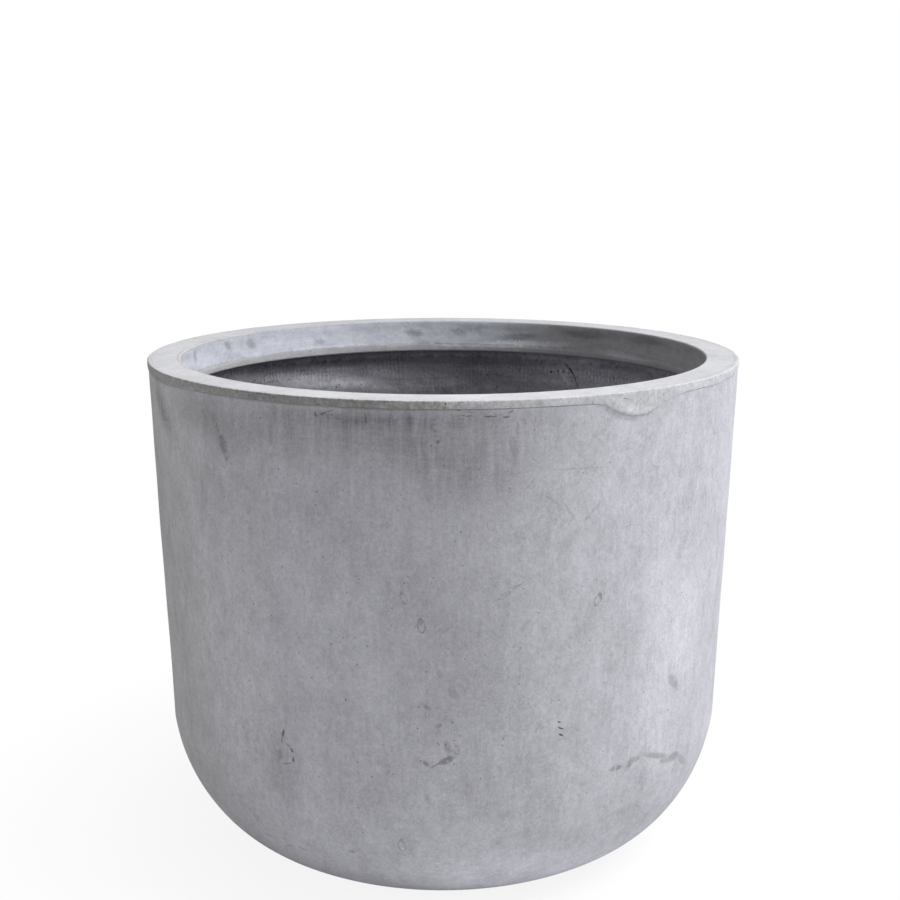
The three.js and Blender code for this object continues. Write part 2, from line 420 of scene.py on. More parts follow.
def round_points(centre, size, first, last, steps):
    """Points on a round corner. Its angles count in quarter turns, 0 pointing outwards and 1 up."""
    angles = np.linspace(first, last, steps) * math.pi / 2
    return [(centre[0] + size * math.cos(a), centre[1] + size * math.sin(a)) for a in angles]


def collar_rows():
    """The collar's section as rings, up its outside, in over its top and down its inner face."""
    angle = angles_round(COLLAR_COLUMNS)[:, 0]
    level = 0 * angle
    uneven = waves(angle, level, 40 * MM, seed=41) + waves(angle, level, 7 * MM, seed=48)
    edge = np.clip(edge_round * (0.85 + 0.2 * uneven), SMALLEST_ROUND, LARGEST_ROUND)
    slurry_low = slurry_edge(angle)
    lip_top = lip_edge(angle)
    left, right = (on_wall(pixel)[0] for pixel in DRIP_SEEN)
    outer, inner = DRIP_FADES
    drip = ease(angle, left - outer, left + inner) * (1 - ease(angle, right - inner, right + outer))

    # The slurry: a thin, lumpy edge that thickens upwards to the rim's true line, and the drip's bead.
    for share in np.linspace(0, 1, 18) ** 1.3:
        height = slurry_low * (1 - share) + (rim_height - edge) * share
        over_edge = height - slurry_low
        thinning = SKIM * (1 - ease(over_edge, 0, 1.8 * MM))
        lumps = np.clip(0.05 * waves(angle, height, 7 * MM, seed=47), 0, 0.15) * MM
        relief = wall_relief(angle, height) * ease(rim_height - height, 3 * MM, 12 * MM)
        swelling = ease(over_edge, -0.3 * MM, 1.2 * MM) * (1 - ease(over_edge, 2 * MM, 9 * MM))
        bead = DRIP_BEAD * drip * swelling
        yield np.minimum(wall_radius(height), rim_radius) - relief - thinning - lumps + bead, height

    # The rounded outer edge.
    for turn in np.linspace(0.15, 0.9, 6) * math.pi / 2:
        yield rim_radius - edge * (1 - math.cos(turn)), rim_height - edge * (1 - math.sin(turn))

    # The flat top, trowelled to within a few tenths of a millimetre.
    for share in np.linspace(0, 1, 24):
        radius = (rim_radius - edge) * (1 - share) + (rim_inner_radius + inner_round) * share
        broad = 0.08 * waves(angle, radius, 45 * MM, seed=42)
        small = 0.04 * waves(angle, radius, 14 * MM, seed=43)
        from_edges = min(1, 6 * share, 8 * (1.02 - share))
        yield radius, rim_height - MM * np.clip(0.16 + broad + small, 0, TOP_DEEPEST) * from_edges

    # The inner face, down to the lip.
    corner = (rim_inner_radius + inner_round, rim_height - inner_round)
    for radius, height in round_points(corner, inner_round, 1.2, 2, 5):
        yield radius + level, height + level
    for share in np.linspace(0.08, 1, 16):
        height = (rim_height - inner_round) * (1 - share) + (lip_top + 1.4 * MM) * share
        broad = 0.3 * waves(angle, height, 55 * MM, seed=44)
        small = 0.12 * waves(angle, height, 16 * MM, seed=45)
        from_ends = min(1, 3 * share, 0.25 + 1.5 * (1 - share))
        yield rim_inner_radius + MM * (0.5 + broad + small) * from_ends, height

    # The lip: a soft step, a wiped strip and a rounded lower edge.
    wiped = 0.1 * MM * waves(angle, level, 12 * MM, seed=46)
    room = lip_top - collar_bottom - LIP_EASE
    for down, proud in LIP_STEP:
        yield rim_inner_radius - LIP_PROUD * proud + wiped, lip_top - down * room
    lip_centre = (rim_inner_radius + LIP_EASE, collar_bottom + LIP_EASE)
    for radius, height in round_points(lip_centre, LIP_EASE, 2, 3, 7):
        yield radius + wiped * 0.6, height + level

    # The underside, the groove for the hoop, the seat on the wall, and the back of the slurry.
    yield lining_radius + level, collar_bottom + level
    for radius, height in round_points(hoop_centre, groove_radius, 3, 1, 9):
        yield radius + level, height + level
    seat_radius = wall_radius(lap_height, wall_top_radius - lining_radius)
    yield seat_radius + level, lap_height + level
    for share in (0.0, 0.5, 0.93):
        height = lap_height * (1 - share) + slurry_low * share
        yield wall_radius(height) - wall_relief(angle, height) - SLURRY_THICKNESS, height


def cast_rim_collar():
    rows = list(collar_rows())[::-1]
    radius, height = (np.stack([row[k] for row in rows], axis=1) for k in (0, 1))
    return turned_piece("cast_rim_collar", radius, height)


rim_collar = cast_rim_collar()

# %% [markdown]
# ## The hand-laid lining
# The backing is pushed on by hand and rolled, so it is lumpy at the scale of a thumb. Where one
# sheet of mesh ends on top of the next, the overlap stays as an upright ridge. The lining is two
# pieces, as it is laid: first the bowl, then a band up the wall that ends under the collar.

# %% Lay the backing
LINING_COLUMNS = 720
RIDGE_SEEN = [(566.4, 364.3), (572.1, 370.7), (575.7, 377.9), (578.1, 387.1)]
RIDGE_PROUD = 2.4  # mm
RIDGE_RISES, RIDGE_DROPS = (-26, -3), (-0.8, 1.2)  # mm past its line
RIDGE_HEIGHTS = (0.13, 0.30)
FACET_ROOM = 0.3 * MM  # the mesh that stays a CAD solid has flat facets, which cut inside a circle

backing_points = section_points("wall_backing")
backing_outer = wall_top_radius - backing_points[:, 0].max() + FACET_ROOM
backing_inner = wall_top_radius - radii_at(backing_points, backing_points[:, 1].max()).min()
wall_backing_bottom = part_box("wall_backing")[0].z
bowl_backing_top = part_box("bowl_backing")[1].z


def on_lining(pixel):
    """Place on the far lining that is seen at a pixel."""
    return on_far_side(pixel, lambda z: wall_radius(z, backing_inner))


ridge_places = np.array([on_lining(pixel) for pixel in RIDGE_SEEN])
ridge_places = ridge_places[ridge_places[:, 1].argsort()]
print("ridge of the mesh's overlap, degrees:", np.degrees(ridge_places[:, 0]).round(1).tolist())


def lining_relief(angle, height):
    """How far the lining stands in from its true line: hand marks, roller bands and the ridge."""
    lumps = 0.55 * waves(angle, height, 42 * MM, seed=51) + 0.3 * waves(angle, height, 17 * MM, seed=52)
    bands = 0.22 * waves(0 * angle, height, 26 * MM, seed=53, count=9)
    ridge_angle = np.interp(height, ridge_places[:, 1], ridge_places[:, 0])
    past = (angle % FULL_TURN - ridge_angle) * break_radius / MM
    ridge = ease(past, *RIDGE_RISES) * (1 - ease(past, *RIDGE_DROPS)) * ease(height, *RIDGE_HEIGHTS)
    return MM * (lumps + bands + RIDGE_PROUD * ridge) * ease(collar_bottom - height, 2 * MM, 8 * MM)


def lay_backing(name, outer, inner):
    """A backing piece from its outer and inner lines, both going down. Only the inner has relief."""
    outline = np.vstack([outer, inner[::-1]])
    angle, radius, height = repeat_round(outline, LINING_COLUMNS)
    shown = (np.arange(len(outline)) >= len(outer)) * ease(outline[:, 1], 24 * MM, 34 * MM)
    radius -= shown * lining_relief(angle, height)
    return turned_piece(name, radius, height)


wall_backing = lay_backing("rolled_wall_backing",
                           wall_line(backing_outer, wall_top, wall_backing_bottom, 8),
                           wall_line(backing_inner, wall_top, wall_backing_bottom, 120))
bowl_backing = lay_backing("packed_bowl_backing",
                           vessel_line(backing_outer, 3, 14, 6, top=bowl_backing_top),
                           vessel_line(backing_inner, 6, 60, 10, top=bowl_backing_top))

# %% [markdown]
# ## The floor
# The floor is a slab of the same mix, trowelled level with a round sweep of the hand, and pulled up
# a little against the lining. The sleeve's flange sits in it, flush.

# %% Trowel the floor slab
FLOOR_COLUMNS = 360
LAYER_GAP = 0.3 * MM
SWEEP_UP = 5 * MM  # how far the floor climbs the lining
SWEEP_WIDTH = 9 * MM

floor_points = section_points("floor_slab")
floor_top = floor_points[:, 1].max()
flange_seat_radius = radii_at(floor_points, floor_top).min()
flange_seat_height = floor_points[floor_points[:, 0] < flange_seat_radius - MM, 1].max()


def trowel_floor():
    under = np.vstack([bowl_line(backing_inner + LAYER_GAP, 90), base_line(backing_inner + LAYER_GAP, 8)])
    under = under[under[:, 1] < floor_top + SWEEP_UP]
    edge_radius = under[0, 0]
    level = np.linspace(flange_seat_radius, edge_radius - SWEEP_WIDTH, 60)
    climb = np.linspace(0.1, 0.95, 8)
    top = np.vstack([np.column_stack([level, np.full_like(level, floor_top)]),
                     np.column_stack([edge_radius - SWEEP_WIDTH * (1 - climb),
                                      floor_top + SWEEP_UP * climb ** 3])])
    seat = [(drain_hole_radius, flange_seat_height), (flange_seat_radius, flange_seat_height)]
    outline = np.vstack([top, under, seat])
    angle, radius, height = repeat_round(outline, FLOOR_COLUMNS)
    on_top = np.arange(len(outline)) < len(top)
    spiral = np.sin(radius / MM * 0.33 + angle + 1.5 * waves(angle, radius, 120 * MM, seed=61))
    swept = 0.35 * spiral + 0.5 * waves(angle, radius, 60 * MM, seed=62)
    from_flange = ease(radius, flange_seat_radius, flange_seat_radius + 12 * MM)
    to_edge = 1 - ease(radius, edge_radius - SWEEP_WIDTH, edge_radius - 2 * MM)
    height += on_top * MM * swept * from_flange * to_edge
    return turned_piece("trowelled_floor", radius, height)


floor_slab = trowel_floor()

# %% [markdown]
# ## The drain
# Sleeve and plug are moulded, so they are crisp where the concrete is soft. Each is turned from a
# short outline whose corners are eased by half a millimetre. A corner's curve gets one more point just
# outside each end: it holds the flat beside it flat, or the smooth shading would bend it.

# %% Turn the sleeve
DRAIN_COLUMNS = 128
SLEEVE_EASE = 0.5 * MM


def eased_outline(corners, ease_by, steps=5):
    """A closed outline whose corners are small curves, with a holding point beside each."""
    corners = np.array(corners)
    points = []
    for before, corner, after in zip(np.roll(corners, 1, axis=0), corners, np.roll(corners, -1, axis=0)):
        back, on = before - corner, after - corner
        back /= np.linalg.norm(back)
        on /= np.linalg.norm(on)
        points.append(corner + back * ease_by * 1.6)
        for share in np.linspace(0, 1, steps):
            points.append(corner + ease_by * ((1 - share) ** 2 * back + share ** 2 * on))
        points.append(corner + on * ease_by * 1.6)
    return np.array(points)


sleeve_points = section_points("drain_sleeve")
drain_radius = sleeve_points[:, 0].min()
sleeve_radius = radii_at(sleeve_points, dish_height).max()
flange_radius = sleeve_points[:, 0].max()
flange_bottom = sleeve_points[sleeve_points[:, 0] > flange_radius - SAME_LEVEL, 1].min()
sleeve_outline = eased_outline([
    (drain_radius, floor_top), (flange_radius, floor_top), (flange_radius, flange_bottom),
    (sleeve_radius, flange_bottom), (sleeve_radius, dish_height), (drain_radius, dish_height),
], SLEEVE_EASE)
drain_sleeve = turned_piece("moulded_drain_sleeve", *repeat_round(sleeve_outline, DRAIN_COLUMNS)[1:])

# %% [markdown]
# The plug is solid on the axis, so its outline doesn't close on itself. It begins and ends on the
# axis, and a fan of triangles closes each end. Two shallow ribs on the stem are what grips.

# %% Turn the plug
plug_points = section_points("drain_plug")
plug_bottom, plug_top = plug_points[:, 1].min(), plug_points[:, 1].max()
head_radius = plug_points[:, 0].max()
head_rim = plug_points[plug_points[:, 0] > head_radius - SAME_LEVEL, 1]
head_seat, head_top = head_rim.min(), head_rim.max()
tip_radius = radii_at(plug_points, plug_bottom).max()
stem_radius = np.sort(radii_at(plug_points, head_seat))[-2]
KNOB_RADIUS, NECK_RADIUS = 7 * MM, 3.5 * MM
knob_height = plug_top - KNOB_RADIUS
HEAD_UNDER, HEAD_OVER, KNOB_UNDER = 0.6 * MM, 1.1 * MM, 0.7 * MM  # how far those edges are rounded
RIB_DEPTH = 0.25 * MM


def plug_outline():
    """Up the stem, round the head, in to the neck and over the knob."""
    outline = [(tip_radius - 1.2 * MM, plug_bottom), (tip_radius - 0.3 * MM, plug_bottom + 0.3 * MM)]
    for step, share in enumerate(np.linspace(0.06, 0.98, 24)):
        radius = tip_radius * (1 - share) + stem_radius * share
        groove = RIB_DEPTH * (step % 6 in (3, 4, 5))
        outline.append((radius - groove, plug_bottom * (1 - share) + head_seat * share))
    outline += [(stem_radius + 0.8 * MM, head_seat), (head_radius - 0.9 * MM, head_seat)]
    outline += round_points((head_radius - HEAD_UNDER, head_seat + HEAD_UNDER), HEAD_UNDER, -0.8, 0, 4)
    outline += round_points((head_radius - HEAD_OVER, head_top - HEAD_OVER), HEAD_OVER, 0, 0.95, 6)
    outline += [(head_radius - 1.8 * MM, head_top), (9 * MM, head_top - 0.4 * MM)]
    outline += [(NECK_RADIUS + 1.3 * MM, head_top - 0.2 * MM)]
    outline += [(NECK_RADIUS + 0.3 * MM, head_top + 0.6 * MM)]
    outline += [(NECK_RADIUS, head_top + 1.5 * MM), (NECK_RADIUS + 0.2 * MM, knob_height - 0.6 * MM)]
    outline += [(NECK_RADIUS + 1.1 * MM, knob_height), (KNOB_RADIUS - 0.9 * MM, knob_height)]
    outline += round_points((KNOB_RADIUS - KNOB_UNDER, knob_height + KNOB_UNDER), KNOB_UNDER, -0.8, 0, 4)
    outline += [(KNOB_RADIUS * math.cos(turn), knob_height + KNOB_RADIUS * math.sin(turn))
                for turn in np.linspace(0.12, 0.97, 12) * math.pi / 2]
    return np.array(outline)


def turned_solid(name, outline, bottom, top):
    """A piece that is solid on the axis, from an outline that goes up."""
    rings, index, beside = ring_grid(*repeat_round(outline, DRAIN_COLUMNS)[1:])
    walls = np.stack([index[:, :-1], beside[:, :-1], beside[:, 1:], index[:, 1:]], axis=-1).reshape(-1, 4)

    def fan(first, second, middle):
        return np.stack([first, second, 0 * first + middle, 0 * first + middle], axis=-1)

    low_fan = fan(beside[:, 0], index[:, 0], len(rings))
    high_fan = fan(index[:, -1], beside[:, -1], len(rings) + 1)
    corners = np.vstack([rings, (0, 0, bottom), (0, 0, top)])
    return add_piece(name, corners, np.vstack([walls, low_fan, high_fan]))


drain_plug = turned_solid("rubber_drain_plug", plug_outline(), plug_bottom, plug_top)

# %% [markdown]
# ## Writing finishes as sums
# A concrete surface is a sum of faint things: clouds, streaks, grain, pinholes, stains. Drawn as a
# node graph that becomes a tangle, so a material is written here as arithmetic. A `Wire` is what one
# socket carries, and adding or multiplying wires adds the Math node that does it, or the Vector Math
# node if a colour or a vector takes part. Any other node comes from `Finish.node`.

# %% A small language for materials
VECTORS = ("VECTOR", "RGBA")


class Wire:
    """What one socket of a node tree carries, with arithmetic that adds nodes."""

    def __init__(self, finish, socket):
        self.finish = finish
        self.socket = socket

    def joined(self, operation, first, second):
        """The node that does one piece of arithmetic on this wire and another value."""
        wide = any(side.socket.type in VECTORS if isinstance(side, Wire) else np.ndim(side)
                   for side in (first, second))
        kind = "ShaderNodeVectorMath" if wide else "ShaderNodeMath"
        return self.finish.node(kind, {"operation": operation}, {0: first, 1: second})

    def __add__(self, other):
        return self.joined("ADD", self, other)

    def __radd__(self, other):
        return self.joined("ADD", other, self)

    def __sub__(self, other):
        return self.joined("SUBTRACT", self, other)

    def __rsub__(self, other):
        return self.joined("SUBTRACT", other, self)

    def __mul__(self, other):
        return self.joined("MULTIPLY", self, other)

    def __rmul__(self, other):
        return self.joined("MULTIPLY", other, self)


class Finish:
    """The node tree of one material, or of the world, in the making."""

    def __init__(self, owner):
        owner.use_nodes = True
        self.owner = owner
        self.tree = owner.node_tree
        self.tree.nodes.clear()

    def node(self, kind, settings=None, sockets=None, out=0):
        """Adds any node: its settings first, then the values or wires of its sockets."""
        made = self.tree.nodes.new(kind)
        for key, value in (settings or {}).items():
            setattr(made, key, value)
        for key, value in (sockets or {}).items():
            self.feed(made.inputs[key], value)
        return Wire(self, made.outputs[out]) if made.outputs else made

    def feed(self, socket, value):
        """Links a wire to a socket, or sets the socket's own value, one number filling a vector."""
        if isinstance(value, Wire):
            self.tree.links.new(value.socket, socket)
        elif socket.type == "RGBA":
            socket.default_value = (*value, 1)
        elif socket.type == "VECTOR":
            socket.default_value = value if np.ndim(value) else (value, value, value)
        else:
            socket.default_value = value

    def other(self, wire, out):
        """Another output of the node that a wire comes from."""
        return Wire(self, wire.socket.node.outputs[out])

    def math(self, operation, *values):
        """Arithmetic that has no sign in Python, such as an arctangent."""
        return self.node("ShaderNodeMath", {"operation": operation}, dict(enumerate(values)))

    def vector(self, operation, *values, out=0):
        """Vector arithmetic that has no sign in Python, such as a length."""
        return self.node("ShaderNodeVectorMath", {"operation": operation}, dict(enumerate(values)), out)

    def rise(self, value, low, high, top=1.0):
        """0 where a value is at low, top where it is at high, smooth between. Low may be the larger."""
        return self.node("ShaderNodeMapRange", {"interpolation_type": "SMOOTHSTEP"},
                         {"Value": value, "From Min": low, "From Max": high, "To Max": top})

    def blend(self, factor, first, second):
        """From one colour to another."""
        return self.node("ShaderNodeMix", {"data_type": "RGBA"}, {0: factor, 6: first, 7: second}, out=2)

    def close(self, shader):
        """Ends the tree with its shader."""
        kind = "World" if isinstance(self.owner, bpy.types.World) else "Material"
        self.node("ShaderNodeOutput" + kind, {}, {"Surface": shader})
        return self.owner


# %% [markdown]
# ## Places on the pot
# Every texture is looked up by the place on the pot, in millimetres, so a size in a material is a real
# size: grain of 4 is 4 mm wide. Marks need a flat map of the wall, so `around` unrolls it, as the
# distance along the rim's circle from the middle of the front, and `up` is the height. A map ends in a
# seam at its back, so the marks of the far inner side are laid on a map that begins there.
#
# A mark is an ellipse along the line between two places. Its map is moved, turned and scaled until
# the ellipse is a unit circle, where a spherical gradient draws it. That is enough for a scratch or a
# smear, which thin out at both ends, for a pit and, as an outline, for the ring of an air bubble.
# Each mark joins the sum as soon as it is drawn, as a material can hold only so many values open.

# %% Look up places, noise, pits and marks
AROUND_RADIUS = rim_radius / MM
FLAT = (1, 1, 0)  # a factor that drops the third coordinate


def map_place(angle, height, far=False):
    """(around, up) in millimetres on the flat map of the front, or of the far side."""
    return np.array([(angle - math.pi * far) * AROUND_RADIUS, height / MM])


def mapped(table, see=on_wall, far=False):
    """A table's marks on the flat map. A row is two pixels, or one for a pit, then width, strength."""
    ends = [[map_place(*see(pixel), far) for pixel in (row[:2], row[-4:-2])] for row in table]
    return [(*pair, *row[-2:]) for pair, row in zip(ends, table)]


class PotFinish(Finish):
    """A material of the pot, with places on it measured in millimetres."""

    def __init__(self, name):
        super().__init__(bpy.data.materials.new(name))
        self.place = self.node("ShaderNodeTexCoord", out="Object") * (1 / MM)
        self.x = self.node("ShaderNodeSeparateXYZ", {}, {0: self.place})
        self.y, self.up = self.other(self.x, "Y"), self.other(self.x, "Z")
        self.from_axis = self.vector("LENGTH", self.place * FLAT, out="Value")

    def unroll(self, wobble=0.0, far=False):
        """Lays out the flat map for marks, shaken a little so that their outlines aren't ruled."""
        side = -1 if far else 1
        self.around = self.math("ARCTAN2", self.x * side, self.y * -side) * AROUND_RADIUS
        spot = self.node("ShaderNodeCombineXYZ", {}, {0: self.around, 1: self.up})
        shake = self.node("ShaderNodeTexNoise", {}, {"Vector": self.place, "Scale": 0.4}, out=1)
        self.spot = (spot + (shake - 0.5) * 2 * wobble) * FLAT

    def noise(self, size, seed, detail=2.0, rough=0.5, stretch=(1, 1, 1)):
        """Noise about zero with features of about size millimetres, drawn out by stretch."""
        scale = tuple(1 / (size * share) for share in stretch)
        shifted = self.place * scale + (seed * 7.3, seed * 3.1, seed * 5.7)
        return self.node("ShaderNodeTexNoise", {},
                         {"Vector": shifted, "Scale": 1.0, "Detail": detail, "Roughness": rough}) - 0.5

    def pits(self, spacing, radius, seed):
        """Round holes scattered about spacing apart, 1 in their middles."""
        shifted = self.place * (1 / spacing) + (seed * 5.3, seed * 2.9, seed * 4.1)
        away = self.node("ShaderNodeTexVoronoi", {"feature": "F1"}, {"Vector": shifted, "Scale": 1.0})
        return self.rise(away, radius / spacing, 0.4 * radius / spacing)

    def mark(self, start, end, width, strength, edge=0.6, ring=0.0):
        """Strength along a line between two places, fading over its edge, a share of its half width.
        With a ring, a smaller share, only an outline is drawn, that far inside the edge."""
        start, end = np.array(start), np.array(end)
        run = end - start
        size = ((np.linalg.norm(run) + width) / 2, width / 2, 1)
        turn = (0, 0, math.atan2(run[1], run[0]))
        unit = self.node("ShaderNodeMapping", {"vector_type": "TEXTURE"}, {
            "Vector": self.spot, "Location": (*(start + end) / 2, 0), "Rotation": turn, "Scale": size})
        inward = self.node("ShaderNodeTexGradient", {"gradient_type": "SPHERICAL"}, {0: unit}, out=1)
        if ring:
            return self.rise(self.math("ABSOLUTE", inward - ring), ring, 0.2 * ring, strength)
        return self.rise(inward, 0, edge, strength)

    def marks(self, places, join="MAXIMUM", **shape):
        """All the marks of a list, each one (start, end, width, strength)."""
        total = 0.0
        for start, end, width, strength in places:
            total = self.math(join, self.mark(start, end, width, strength, **shape), total)
        return total

    def tint(self, colour, tone):
        """A colour made lighter or darker by a tone."""
        return self.node("ShaderNodeVectorMath", {"operation": "SCALE"}, {0: colour, "Scale": tone})

    def surface(self, colour, roughness, relief=None, relief_height=0.0, specular=0.5):
        """Closes the material with one shader. What is the same all over is set on its sockets."""
        sockets = {"Base Color": colour, "Roughness": roughness, "Specular IOR Level": specular}
        if relief:
            sockets["Normal"] = self.node("ShaderNodeBump", {}, {
                "Height": relief, "Distance": relief_height * MM, "Strength": 1.0})
        return self.close(self.node("ShaderNodeBsdfPrincipled", {}, sockets))


print("the wall unrolled, mm:", map_place(*on_wall((165, 500))).round(1).tolist(), "to",
      map_place(*on_wall((725, 500))).round(1).tolist())

# %% [markdown]
# ## Marks on the wall
# What makes cast concrete believable is its accidents, and each kind has its own drawing. Broad stains
# are wide and soft: damp under the rim. The broad clouds are partly painted light, paler towards the
# foot and at the sides, and there is a painted shadow under the drip. Smears are ragged and olive.
# Cracks, scratches and pits are narrow and dark. Bubbles just under the skin show as a thin ring.
# A row holds the pixels of its two ends, or one pixel for a pit, then its width in millimetres and
# how much of the light it takes. A negative strength makes the place paler.

# %% Broad stains, and broad painted light and shade
BROAD_STAINS = [
    (345, 428, 440, 434, 70, 0.17), (250, 420, 345, 436, 74, 0.24), (425, 450, 510, 470, 90, 0.22),
    (300, 455, 520, 480, 130, 0.12), (230, 408, 600, 411, 22, 0.22), (480, 425, 580, 436, 60, 0.12),
    (156, 390, 170, 430, 34, 0.40), (180, 402, 250, 440, 50, 0.26),
]
# The first three rows are broad painted light and shade, darker in the middle and paler at the left and
# right, partly the concrete's own cloudy tone. The fourth is painted bounce light, paler at the foot. The
# four rows from (600, 405) are a painted shadow under the drip. The rest are stains and streaks.
WALL_CLOUDS_AND_PAINTED_LIGHT = [
    (445, 520, 440, 760, 150, 0.13), (214, 540, 228, 740, 130, -0.16), (672, 470, 660, 800, 130, -0.12),
    (360, 862, 610, 850, 70, -0.20), (530, 690, 532, 750, 60, -0.06), (600, 405, 612, 412, 6, 0.22),
    (610, 412, 624, 418, 6, 0.22), (622, 418, 642, 419, 6, 0.20), (642, 417, 658, 409, 5, 0.18),
    (386, 752, 388, 792, 9, 0.09), (488, 760, 490, 796, 8, 0.09), (427, 795, 429, 806, 6, 0.14),
    (550, 522, 547, 548, 6, 0.12), (612, 814, 640, 806, 16, 0.10), (326, 748, 326, 764, 7, 0.10),
    (521, 646, 520, 676, 7, 0.10), (482, 610, 476, 650, 5, 0.08), (512, 440, 516, 456, 9, 0.12),
    (692, 560, 695, 700, 5, 0.06), (707, 546, 710, 516, 3, 0.10), (325, 502, 328, 512, 9, 0.08),
    (360, 520, 362, 545, 5, 0.09), (208, 590, 200, 585, 12, 0.05),
]

# %% Smears, cracks, scratches and pits
SMEARS = [
    (217, 425, 218, 430, 5.7, 0.24), (221, 438, 224, 451, 10.8, 0.38),
    (224.5, 450, 226.5, 461, 5.1, 0.34), (270, 421, 270, 447, 5.7, 0.16),
    (257, 420, 259, 434, 6.5, 0.11), (517.5, 421, 518, 436, 3.2, 0.18), (446, 743, 449, 752, 6.1, 0.29),
    (455, 744, 460, 752, 3.5, 0.21), (424, 762, 428, 765.5, 4.1, 0.34),
    (441, 763, 453, 757.5, 6.9, 0.44), (453, 751, 455, 757, 5.1, 0.36), (437, 727, 440, 725, 4.3, 0.29),
    (424, 706, 430, 709, 4.1, 0.29), (451, 690, 454, 696, 8.2, 0.19), (439, 672, 441, 677, 5.1, 0.16),
    (610, 770, 622, 766.5, 5.8, 0.37), (628, 767.5, 631, 761, 7.2, 0.36),
    (631, 761, 639, 758, 6.1, 0.27), (643, 754.5, 668, 756, 6.5, 0.32), (660, 761, 669, 760, 6.1, 0.29),
    (668, 759, 678, 754, 9.5, 0.32), (677, 755, 685, 763, 7.8, 0.24),
    (669.5, 676, 677, 687, 11.2, 0.27), (672, 660, 669, 675, 6.9, 0.11),
    (684, 543, 689, 530, 7.8, 0.16), (562, 548, 577, 532, 10.8, 0.11),
    (279.5, 751, 279.5, 758, 6.5, 0.22), (349, 851.5, 355, 852.5, 4.3, 0.27),
    (620, 468, 625, 479, 9.7, 0.10),
]
CRACKS = [
    (283.3, 729.5, 282.4, 737, 2.8, 0.62), (282.2, 737, 281, 743, 1.8, 0.50),
    (286, 743, 290, 748.5, 1.5, 0.52), (290, 748.5, 293, 753, 2.4, 0.60),
    (293, 758, 293, 762, 2.6, 0.60), (281, 764.2, 292, 763.6, 1.6, 0.42),
    (430, 768.5, 441, 762.5, 1.9, 0.38), (557.5, 721.6, 561.5, 722.8, 1.4, 0.75),
    (558.5, 727.7, 564, 729.6, 1.8, 0.85), (559, 734.4, 563.5, 735.8, 1.8, 0.85),
    (450, 407.5, 463, 411.6, 1.4, 0.45), (463, 411.6, 475, 412.8, 1.1, 0.36),
    (458, 415, 475, 416.6, 1.1, 0.42), (483, 416.6, 498, 416.6, 1.5, 0.55),
    (502.5, 417, 510, 416.6, 1.6, 0.60), (509, 413.5, 513, 410.5, 1.8, 0.48),
    (314, 412, 316.5, 417, 1.9, 0.50), (319, 415, 326, 412.5, 1.8, 0.50),
    (326, 412.5, 334, 409, 1.2, 0.50), (328, 418.5, 343, 418.8, 1.0, 0.30),
    (364.5, 413, 366.5, 424, 1.8, 0.48), (542, 493, 562, 507, 2.0, 0.13),
    (560, 498, 580, 526, 2.2, 0.15), (604, 498, 581, 526, 2.2, 0.16), (500, 476, 540, 470, 2.0, 0.10),
    (540, 470, 617, 466, 1.9, 0.13), (512, 590, 524, 582.5, 2.0, 0.24),
    (524, 582.5, 546, 568.5, 1.2, 0.14), (256, 811, 270, 838, 1.6, 0.22),
    (265, 834, 278, 838, 1.5, 0.20), (284, 845, 297, 846.5, 1.5, 0.34),
    (297, 846.5, 308, 851, 1.8, 0.34), (432, 871, 444, 871, 1.1, 0.30), (650, 467, 663, 466, 1.8, 0.13),
    (663, 466, 667, 455, 1.5, 0.10), (398, 690, 400, 768, 1.0, 0.10),
]
PITS_SEEN = [
    (438, 442, 3.6, 0.42), (435, 431, 2.2, 0.30), (434, 420, 2.6, 0.22), (345.5, 700, 2.0, 0.60),
    (331, 644.5, 1.7, 0.65), (253.5, 603.5, 1.5, 0.60), (311.5, 678, 1.4, 0.50), (300, 677, 1.5, 0.50),
    (242.5, 727, 1.6, 0.50), (404.5, 583.5, 1.4, 0.60), (503, 738.8, 1.8, 0.70),
    (480.5, 779, 1.6, 0.65), (354, 769, 1.4, 0.45), (520.5, 814.5, 1.3, 0.50),
    (509.5, 488.5, 1.5, 0.60), (583.5, 472.5, 1.5, 0.55), (452, 722.5, 2.0, 0.60),
    (433, 578, 2.0, 0.32), (519.5, 684.5, 1.7, 0.60), (331, 415, 1.5, 0.55), (665.5, 632.5, 1.4, 0.40),
    (290, 522, 2.4, 0.22), (348, 467.5, 1.8, 0.30), (249, 681, 1.6, 0.40),
]
SPECKLED = [(420, 700, 430, 725, 34, 0.6), (436, 742, 458, 752, 34, 0.8), (450, 690, 452, 700, 16, 0.6)]
SCRAPES = [
    (312, 405, 345, 411, 9.0, -0.16), (506, 443, 509, 451, 3.4, -0.14),
    (402.5, 849.5, 402.7, 849.6, 4.2, -0.34), (608, 449, 650, 434, 1.2, -0.08),
    (570, 440, 610, 438, 5.0, -0.05), (540, 415, 600, 418, 7.0, -0.07),
]

# %% Rings that bubbles leave under the skin
BUBBLE_RING = 0.16  # how far inside its edge the line lies, as a share of the half width
BUBBLES = [
    (402, 595.5, 405, 602, 4.8, 0.34), (420.5, 622, 422, 630, 6.0, 0.42),
    (597, 603, 599.5, 596.5, 5.4, 0.50), (401, 843.5, 402, 848.5, 6.4, 0.32),
    (491, 523.5, 491.5, 527.5, 6.0, 0.22), (499.8, 599, 509, 592.6, 3.4, 0.34),
]
BUBBLE_CAPS = [
    (600, 593.5, 600.8, 597.5, 4.4, 0.30), (420, 620, 421, 624, 4.6, 0.24),
    (401.5, 592, 402, 594, 2.4, 0.30), (400, 839.5, 403, 839.5, 2.0, 0.28),
    (502, 597, 509, 592.6, 2.0, 0.14),
]

# %% [markdown]
# ## Marks on the sides that aren't seen
# Nobody has drawn the back of the pot, yet it came out of the same mould and stood in the same yard. So
# it gets marks of the same kinds, placed by a seeded random generator, which gives the same pot each run.

# %% Scatter marks round the back
BACK_ANGLES = (1.75, FULL_TURN - 1.75)  # radians, the part of the wall that the viewer doesn't see
BACK_HEIGHTS = (60, 370)  # mm


